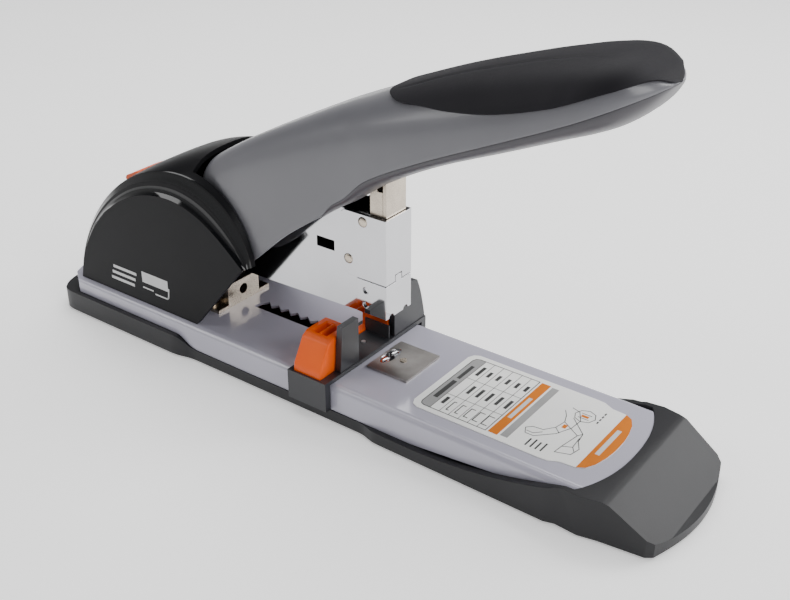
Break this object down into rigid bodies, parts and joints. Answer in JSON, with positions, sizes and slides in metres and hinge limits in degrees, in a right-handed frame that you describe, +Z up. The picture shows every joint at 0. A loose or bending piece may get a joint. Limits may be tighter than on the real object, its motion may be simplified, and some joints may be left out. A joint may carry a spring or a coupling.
{
  "type": "heavy-duty desktop stapler",
  "caption": "Long-base heavy-duty stapler: swinging padded handle, chrome magazine with pull-out track, sliding paper guide, domed rear cover.",
  "frame": {"origin": "middle of the footprint, on the surface that the rubber feet stand on", "axes": "+X to the toe of the base and the tip of the handle, +Z up, +Y to the side that the rack's teeth are on"},
  "size_m": [0.311, 0.068, 0.1628],
  "materials": {
    "base_plastic": "fine satin texture",
    "cover_plastic": "satin cheeks with glossy edge ridges",
    "rubber": "matt",
    "deck_paint": "glossy lilac-grey stoving paint",
    "chrome": "polished plate",
    "nickel": "bright nickel plate",
    "steel": "bright rolled",
    "spring_steel": "drawn wire",
    "label": "printed film",
    "orange_plastic": "semi-gloss",
    "handle_grey": "glossy lacquer",
    "handle_under": "semi-gloss",
    "grip_soft": "soft-touch matt",
    "guide_plastic": "satin"
  },
  "bodies": {
    "base": {"base_tray": "base_plastic", "rubber_feet": "rubber", "deck_plate": "deck_paint", "deck_screws": "steel", "anvil_plate": "chrome", "anvil_screw": "nickel", "label_plate": "label", "pivot_frame": "nickel", "frame_rivets": "nickel", "main_pivot_pin": "steel", "magazine_pivot_pin": "steel", "pin_clips": "spring_steel", "handle_spring": "spring_steel", "lift_spring": "spring_steel", "rear_cover": "cover_plastic", "cover_screws": "steel"},
    "handle": {"handle_upper_shell": "handle_grey", "handle_lower_shell": "handle_under", "grip_pad": "grip_soft", "handle_lever": "steel", "handle_screws": "steel"},
    "magazine": {"magazine_body": "chrome", "front_cover": "chrome", "cover_rivets": "nickel"},
    "track": {"staple_track": "steel", "track_nose": "chrome", "staple_strip": "steel", "pusher_rod": "steel", "pusher_spring": "spring_steel"},
    "pusher": {"pusher": "base_plastic"},
    "driver": {"driver_block": "nickel", "driver_blade": "nickel", "driver_pin": "steel"},
    "guide": {"paper_guide": "guide_plastic", "guide_clip": "steel", "latch_springs": "spring_steel"},
    "latch_near": {"guide_latch_near": "orange_plastic"},
    "latch_far": {"guide_latch_far": "orange_plastic"},
    "button": {"release_button": "orange_plastic"}
  },
  "joints": [
    {"name": "handle_hinge", "type": "hinge", "parent": "base", "child": "handle", "pos_m": [-0.076, 0, 0.06], "axis": [0, 1, 0], "range_deg": [0, 21.1], "stiffness_Nm_per_rad": 2.5, "springref_deg": -22.92},
    {"name": "magazine_hinge", "type": "hinge", "parent": "base", "child": "magazine", "pos_m": [-0.098, 0, 0.044], "axis": [0, 1, 0], "range_deg": [0, 10.2], "deforming": ["lift_spring"]},
    {"name": "driver_slide", "type": "slide", "parent": "magazine", "child": "driver", "axis": [0, 0, -1], "range_m": [0, 0.0143]},
    {"name": "track_slide", "type": "slide", "parent": "magazine", "child": "track", "axis": [-1, 0, 0], "range_m": [-0.07, 0]},
    {"name": "pusher_slide", "type": "slide", "parent": "track", "child": "pusher", "axis": [-1, 0, 0], "range_m": [0, 0.028], "stiffness_N_per_m": 60, "springref_m": -0.02, "deforming": ["pusher_spring"]},
    {"name": "guide_slide", "type": "slide", "parent": "base", "child": "guide", "axis": [-1, 0, 0], "range_m": [0, 0.038]},
    {"name": "latch_near_press", "type": "slide", "parent": "guide", "child": "latch_near", "axis": [0, 1, 0], "range_m": [0, 0.0022], "stiffness_N_per_m": 400, "springref_m": -0.002, "deforming": ["latch_springs"]},
    {"name": "latch_far_press", "type": "slide", "parent": "guide", "child": "latch_far", "axis": [0, -1, 0], "range_m": [0, 0.0022], "stiffness_N_per_m": 400, "springref_m": -0.002},
    {"name": "button_press", "type": "slide", "parent": "base", "child": "button", "axis": [0.4848, 0, -0.8746], "range_m": [0, 0.002], "stiffness_N_per_m": 400, "springref_m": -0.002}
  ],
  "couplings": [
    {"joint": "magazine_hinge", "follows": "handle_hinge", "ratio": 0.483},
    {"joint": "driver_slide", "follows": "handle_hinge", "m_per_rad": 0.0388}
  ]
}
